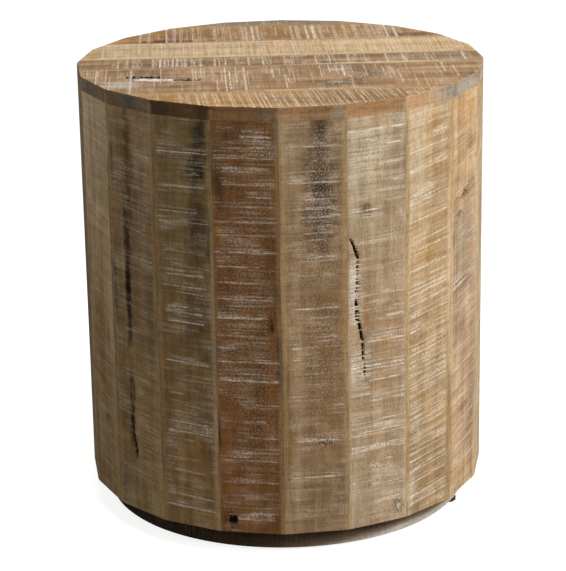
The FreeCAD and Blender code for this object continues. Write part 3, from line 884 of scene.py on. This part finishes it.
# %% Top board cards
FILLER = "#EAE5DB"
CURL = (35, 70), (25, 88), (12, 98), (-2, 93), (-15, 76), (-30, 60), (-44, 46)     # of burr, on board 2
TOP_CARDS = {}
TOP_CARDS[1] = card(
    ("#AA8556", "#AB8658", "#A88658"), (3, 4), 0.35,
    [-112 + 5.7 * i + 1.6 * math.sin(2.3 * i) for i in range(49)],
    (90, 0.5), (0.0, -0.2), bold=0.75, broad=1.4, steady=0.8, figure=0.3,
    stains=[
        (0, 100, 34, 60, 0.5, "#6E522C"), (0, 20, 34, 40, 0.3, "#7A5C34"), (0, -60, 34, 40, 0.3, "#B8853E"),
    ],
)
TOP_CARDS[2] = card(
    ("#A28260", "#AA8966", "#AA8A68"), (4, 3), 0.6,
    (-204, -166, (-98, -10, 60), (-95, 0, 60), (-89, 10, 60), (-77, -10, 60), -63, (-58, -50, 40),
     (-51, -20, 60), -42, (-18, 20, 60), (-11, 0, 60), (-3, 20, 50), (2, -50, 20), (7, 10, 60), (42, 0, 60),
     (52, 20, 60), (60, 10, 60), (67, 0, 60), (111, 0, 50), (116, -20, 20), (127, -40, 30), (178, 10, 60)),
    (120, 0.65), broad=1.3, steady=1.0, figure=0.4,
    stains=[
        (-14, -178, 18, 26, 0.8, "#CEC4B2"), (22, -10, 12, 30, 0.5, "#806A5A"),
        (44, -150, 14, 40, 0.6, "#70543A"), (9, -152, 7, 10, 1.0, FILLER), (6, -138, 9, 12, 1.0, FILLER),
        (3, -122, 7, 9, 1.0, FILLER), *((*place, 10, 12, 0.75, "#64503C") for place in CURL),
        (34, 60, 8, 16, 0.7, "#D8CAB6"), (-26, 56, 6, 9, 0.6, "#D0C2AC"), (50, 20, 9, 140, 0.5, "#7A5C42"),
        (-58, 30, 4, 90, 0.8, "#D4BA94"), (-34, -40, 16, 60, 0.3, "#B89468"),
        (-36, 140, 18, 40, 0.35, "#C29C66"),
    ],
    burrs=[*((*place, 11, 13, 1.2) for place in CURL), (-14, -178, 18, 26, 1.0), (8, -138, 8, 20, 0.6)],
    cracks=[(4.6, (22, -166), (21, -152), (18, -136)), (2.6, (18, -136), (14, -120)),
            (3.8, (4, -118), (3, -108), (1, -95))],
)
TOP_CARDS[3] = card(
    ("#967858", "#9A7C5C", "#9E8060"), (4, 3), 0.7,
    (-181, -171, -164, -160, -142, -134, -129, -125, -120, -115, -110, -106, -99, -89, -73, -68, -61, -49,
     -35, -19, 5, 14, 40, 56, 77, 96, 120, 139, 165, 207), (70, 0.6), broad=1.6, steady=1.0, figure=0.4,
    stains=[
        (-4, -110, 14, 70, 0.6, "#6A4E34"), (0, 190, 16, 40, 0.3, GREY), (10, 20, 10, 60, 0.4, "#745840"),
        (-22, 130, 4, 90, 1.0, "#DCC6A2"), (-14, 56, 6, 12, 0.8, "#5A4432"),
    ],
    burrs=[(-14, 56, 8, 12, 1.0)],
)
TOP_CARDS[4] = card(
    ("#C9AC82", "#CBAC82", "#CCAC7E"), (9, 3), 0.5,
    [-200 + 5.2 * i + 1.5 * math.sin(1.7 * i) for i in range(80)], (20, 0.5), bold=0.6, broad=1.3,
    steady=0.8,
    stains=[
        (-5, 26, 20, 60, 0.3, ORANGE), (-2, 190, 18, 30, 0.5, "#B8824A"), (-38, 110, 4, 100, 1.0, "#E2CCA6"),
        (36, -90, 8, 90, 0.4, "#D8C4A2"),
    ],
)
TOP_CARDS[5] = card(
    ("#AC8658", "#AE885C", "#BA9770"), (3, 5), 0.5,
    (-158, -148, -127, -118, -110, -96, -88, -70, -60, -52, -37, -33, -25, -19, 21, 28, 39, 47, 56, 72, 84,
     96, 112, 118, 124, 128, 133, 143), (50, 0.5), broad=1.9, steady=1.0,
    stains=[
        (-36, -125, 10, 44, 1.0, "#5E361C"), (-10, -95, 26, 60, 0.5, "#7E5632"),
        (-30, 150, 12, 50, 0.6, "#5E4630"), (34, 0, 8, 150, 0.35, ORANGE), (-10, 0, 30, 30, 0.4, "#86623E"),
    ],
)
TOP_CARDS[6] = card(
    ("#A08B70", "#A28E74", "#9E8A70"), (3, 3), 0.6, (-30, -10), (14, 0.4),
    stains=[(4, -20, 12, 40, 0.5, GREY)],
)
print(len(TOP_CARDS), "top board cards")

# %% [markdown]
# A board starts as a flat grid. Its columns are slid to the saw marks, then planes through the
# drum's sides trim it, and two more loops just inside each side carry the crisp arris. The edge is
# drawn down to the board's thickness and closed below. It was sanded flush with the rim and took
# the same weather, so it takes the tone of the rim block under it.

# %% The drum's sides
TOP_ARRIS = 0.7
SIDE_TURNS = [(number + 0.5) * STAVE_ANGLE for number in range(STAVES)]
SIDE_WAYS = [Vector((math.sin(turn), -math.cos(turn), 0)) for turn in SIDE_TURNS]


def nearest_side(point):
    """The number of the drum's side nearest to a point, how far aside the point lies, and how far inside."""
    number = max(range(STAVES), key=lambda n: point.dot(SIDE_WAYS[n]))
    way = SIDE_WAYS[number]
    aside = point.y * way.x - point.x * way.y
    return number, aside, eased_flat(aside) - point.dot(way)


def trim(bm, inset, cut):
    """Cuts a loop at a distance inside each side of the drum that the board reaches, or trims it there."""
    for way in SIDE_WAYS:
        if any(vert.co.dot(way) > FLAT - 2 * TOP_ARRIS * MM for vert in bm.verts):
            everything = bm.verts[:] + bm.edges[:] + bm.faces[:]
            side = way * (FLAT - inset * MM)
            bmesh.ops.bisect_plane(bm, geom=everything, plane_co=side, plane_no=way, clear_outer=cut)


# %% A top board
TOP_TURN = math.radians(3.3)
TOP_JOINTS = [-228.6, -153, -28, 23.5, 108, 197, 228.6]
TOP_SEED = 60
SPARE = 6                       # millimetres by which a sheet reaches past the drum before it is trimmed
JOINT_LINE = 0.6                # width of the dirty line at a joint, millimetres
RIM_TONED = 0.1 * MM            # points this near the drum's side take the rim's tone


def sawn_sheet(front, back, marks, seed):
    """A flat painted grid with its columns at the saw marks, turned into the drum's frame."""
    half, middle, reach = (back - front) / 2, (front + back) / 2, CORNER / MM + SPARE
    scores = saw_scores(marks, -reach, reach, half, seed)
    columns = saw_rows([-reach, reach], scores)
    lines = saw_rows([-half, -half + JOINT_LINE, half - JOINT_LINE, half], {})
    bm = bmesh.new()
    bmesh.ops.create_grid(bm, x_segments=len(columns) - 1, y_segments=len(lines) - 1, size=1)
    paint = painter(bm, marks, scores, half, seed)
    places = bm.verts.layers.float_vector.new("place")
    for vert in bm.verts:
        along = columns[round((vert.co.x + 1) / 2 * (len(columns) - 1))]
        across = lines[round((vert.co.y + 1) / 2 * (len(lines) - 1))]
        share = (along + reach) / (2 * reach)
        joint = abs(across) > half - JOINT_EDGE
        depth = paint(vert, across, along, share, joint) + JOINT_GROOVE * joint
        vert[places] = Vector((across, along, depth)) * MM
        vert.co = Vector((along + slant_at(marks, across, share), middle + across, 0)) * MM
    bmesh.ops.rotate(bm, verts=bm.verts, matrix=Matrix.Rotation(TOP_TURN, 3, "Z"))
    return bm, places


def top_board(front, back, marks, seed):
    """A board of the top, trimmed to the drum, with its arris and its edge."""
    bm, places = sawn_sheet(front, back, marks, seed)
    trim(bm, inset=0, cut=True)
    trim(bm, inset=0.3 * TOP_ARRIS, cut=False)
    trim(bm, inset=TOP_ARRIS, cut=False)
    grain_place = {vert: vert[places].xy.copy() for vert in bm.verts}
    drawn = bmesh.ops.extrude_edge_only(bm, edges=[edge for edge in bm.edges if edge.is_boundary])["geom"]
    below = {g for g in drawn if isinstance(g, bmesh.types.BMVert)}
    lower = [g for g in drawn if isinstance(g, bmesh.types.BMEdge) and all(v in below for v in g.verts)]
    bmesh.ops.edgeloop_fill(bm, edges=lower)
    tone_layer = bm.verts.layers.float_color["tone"]
    for vert in bm.verts:
        number, aside, inside = nearest_side(vert.co)
        if inside < 0:
            vert.co += SIDE_WAYS[number] * inside
        short = max(TOP_ARRIS * MM - max(inside, 0), 0)
        fall = TOP_ARRIS * MM - math.sqrt((TOP_ARRIS * MM) ** 2 - short ** 2)
        vert.co.z = RIM_HEAD if vert in below else TABLE_TOP - fall - max(vert[places].z, 0)
        if inside < RIM_TONED:
            rim = RIM_CARDS[number + 1]
            vert[tone_layer] = tone_at(rim, aside / MM, RIM_HEAD / MM, 1.0, RIM_SEED + number + 1)
            for name in ("wash", "score", "crack", "burr"):
                vert[bm.verts.layers.float[name]] = 0.0
    map_grain(bm, grain_place, seed, lying=True)
    return bm


for number, (front, back) in enumerate(zip(TOP_JOINTS, TOP_JOINTS[1:]), 1):
    board = top_board(front, back, TOP_CARDS[number], TOP_SEED + number)
    count = finish_piece(board, f"sawn_top_board_{number}", f"top_board_{number}")
    print("top board", number, "of", count, "faces")

# %% [markdown]
# ## Plinth
# The plinth is four arcs sawn from the same wood and left plain, with the grain along them. A copy
# of each CAD arc keeps its screw holes. Its triangles are merged, planes through the axis cut it
# finer, and the new points are moved out onto the true circle, so that its edge runs smoothly. Its
# tones run on from arc to arc in wide patches and hold painted shade and painted light: near black
# at the top, under the staves' overhang, and on the left, pale grey towards the floor, more on the
# right. A few level cuts carry those tones.

# %% Plinth arcs
PLINTH_ARCS = [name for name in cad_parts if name.startswith("plinth_arc_")]
PLINTH_RADIUS = max(math.hypot(v.co.x, v.co.y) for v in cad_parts[PLINTH_ARCS[0]].data.vertices)
# Its tones, from near black to pale grey, are painted shade and painted light.
PLINTH_MARKS = card(("#2A1E12", "#4A3A2A", "#7E6C56", "#E4DED2"), (0, 0), 0.2, saw=(0, 0))
PLINTH_SEED = 80
PLINTH_PATCH = 6                # how much wider the plinth's patches are than a board's
PLINTH_STEP = math.radians(2)
PLINTH_LEVELS = 0.3, 0.45, 0.6, 0.8     # heights of the level cuts, as shares of the staves' foot
UNSANDED = 99                   # a half width so large that no sanded strip shows, millimetres


def plinth_arc(node, seed):
    bm = bmesh.new()
    bm.from_mesh(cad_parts[node].data)
    bmesh.ops.remove_doubles(bm, verts=bm.verts, dist=0.01 * MM)
    bmesh.ops.dissolve_limit(bm, angle_limit=math.radians(0.5), verts=bm.verts, edges=bm.edges)
    turns = [turn * PLINTH_STEP for turn in range(round(math.pi / PLINTH_STEP))]
    cuts = [((0, 0, 0), (math.cos(turn), math.sin(turn), 0)) for turn in turns]
    cuts += [((0, 0, level * STAVE_FOOT), (0, 0, 1)) for level in PLINTH_LEVELS]
    for place, way in cuts:
        everything = bm.verts[:] + bm.edges[:] + bm.faces[:]
        bmesh.ops.bisect_plane(bm, geom=everything, plane_co=place, plane_no=way)
    paint = painter(bm, PLINTH_MARKS, {}, UNSANDED, PLINTH_SEED)
    grain_place = {}
    for vert in bm.verts:
        radius = math.hypot(vert.co.x, vert.co.y)
        if radius > PLINTH_RADIUS - 1 * MM:
            vert.co.xy *= PLINTH_RADIUS / radius
        turn = math.atan2(vert.co.x, -vert.co.y)
        # Painted light and shade: darker on the left and at the top under the overhang, paler to the right
        # and towards the floor.
        painted_light_right = min(0.5 + 0.5 * math.sin(turn - 0.28), 0.68)
        painted_light_low = 2.16 - 2.2 * vert.co.z / STAVE_FOOT
        paint(vert, vert.co.z / MM, turn * PLINTH_RADIUS / MM / PLINTH_PATCH, painted_light_right * painted_light_low)
        grain_place[vert] = Vector((vert.co.z + radius, (turn % math.tau) * PLINTH_RADIUS))
    map_grain(bm, grain_place, seed)
    return bm


for number, node in enumerate(sorted(PLINTH_ARCS), 1):
    count = finish_piece(plinth_arc(node, PLINTH_SEED + number), f"sawn_{node}", node)
    print(node, "of", count, "faces")

# %% [markdown]
# ## Plywood, nylon and zinc
# The parts that carry the boards keep their CAD shape. The discs and hoops are plywood, whose edge
# shows its plies as stripes 1.5 mm thick. The glides are moulded nylon, near black, with a fine
# spark-eroded grain. The screws and nails are zinc plated, a bluish metal with a cloudy gloss. All
# three read Object coordinates, because these pieces have no grain of their own to follow.

# %% Plywood
PLY = 1.5 * MM
WAVE = math.tau / 20            # scale at which a Wave node draws one stripe in a metre
FIGURE = 140 * MM, 5 * MM       # size of the streaks in the face veneer


def birch_plywood():
    material, tree = new_material("birch plywood")
    place = add(tree, "TexCoord", out="Object")
    plies = {"Vector": place, "Scale": WAVE / (2 * PLY), "Distortion": 0.0}
    plies = add(tree, "TexWave", plies, out="Fac", wave_type="BANDS", bands_direction="Z")
    stretch = (1 / FIGURE[0], 1 / FIGURE[1], 1.0)
    stretch = add(tree, "VectorMath", {0: place, 1: stretch}, operation="MULTIPLY")
    figure = add(tree, "TexNoise", {"Vector": stretch, "Scale": 1.0, "Detail": 4.0})
    face = add(tree, "Mix", {0: figure, 6: linear("#C6A67C"), 7: linear("#DBC19A")}, **BLEND)
    amount = add(tree, "Math", {0: plies, 1: 0.55}, operation="MULTIPLY")
    face = add(tree, "Mix", {0: amount, 6: face, 7: linear("#8C6A45")}, **BLEND)
    bump = add(tree, "Bump", {"Strength": 0.2, "Distance": 0.2 * MM, "Height": figure})
    wood = {"Base Color": face, "Roughness": 0.7, "IOR": 1.5, "Normal": bump}
    add(tree, "OutputMaterial", {"Surface": add(tree, "BsdfPrincipled", wood)})
    return material


# %% Nylon and zinc
PIT, CLOUD = 0.8 * MM, 3 * MM   # sizes of the moulding's pits and of the plating's clouds


def moulded_nylon():
    material, tree = new_material("moulded black nylon")
    place = add(tree, "TexCoord", out="Object")
    pits = add(tree, "TexNoise", {"Vector": place, "Scale": 1 / PIT, "Detail": 2.0})
    colour = add(tree, "Mix", {0: pits, 6: linear("#0E0E0F"), 7: linear("#1C1C1E")}, **BLEND)
    bump = add(tree, "Bump", {"Strength": 0.3, "Distance": 0.1 * MM, "Height": pits})
    nylon = {"Base Color": colour, "Roughness": 0.5, "IOR": 1.53, "Normal": bump}
    add(tree, "OutputMaterial", {"Surface": add(tree, "BsdfPrincipled", nylon)})
    return material


def zinc_plate():
    material, tree = new_material("zinc plated steel")
    place = add(tree, "TexCoord", out="Object")
    cloud = add(tree, "TexNoise", {"Vector": place, "Scale": 1 / CLOUD, "Detail": 3.0})
    colour = add(tree, "Mix", {0: cloud, 6: linear("#A9AEB4"), 7: linear("#C6C9CB")}, **BLEND)
    gloss = add(tree, "MapRange", {"Value": cloud, "To Min": 0.25, "To Max": 0.5})
    steel = {"Base Color": colour, "Metallic": 1.0, "Roughness": gloss}
    add(tree, "OutputMaterial", {"Surface": add(tree, "BsdfPrincipled", steel)})
    return material


# %% Finishes of the CAD pieces
FINISHES = {
    birch_plywood: ("sub_top", "upper_hoop", "lower_hoop", "base_panel"),
    moulded_nylon: ("glides",),
    zinc_plate: ("glide_nails", "stave_screws", "top_screws", "plinth_screws"),
}
for finish, nodes in FINISHES.items():
    material = finish()
    for node in nodes:
        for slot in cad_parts[node].material_slots:
            slot.material = material
    print(material.name, "on", {node: len(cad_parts[node].material_slots) for node in nodes})
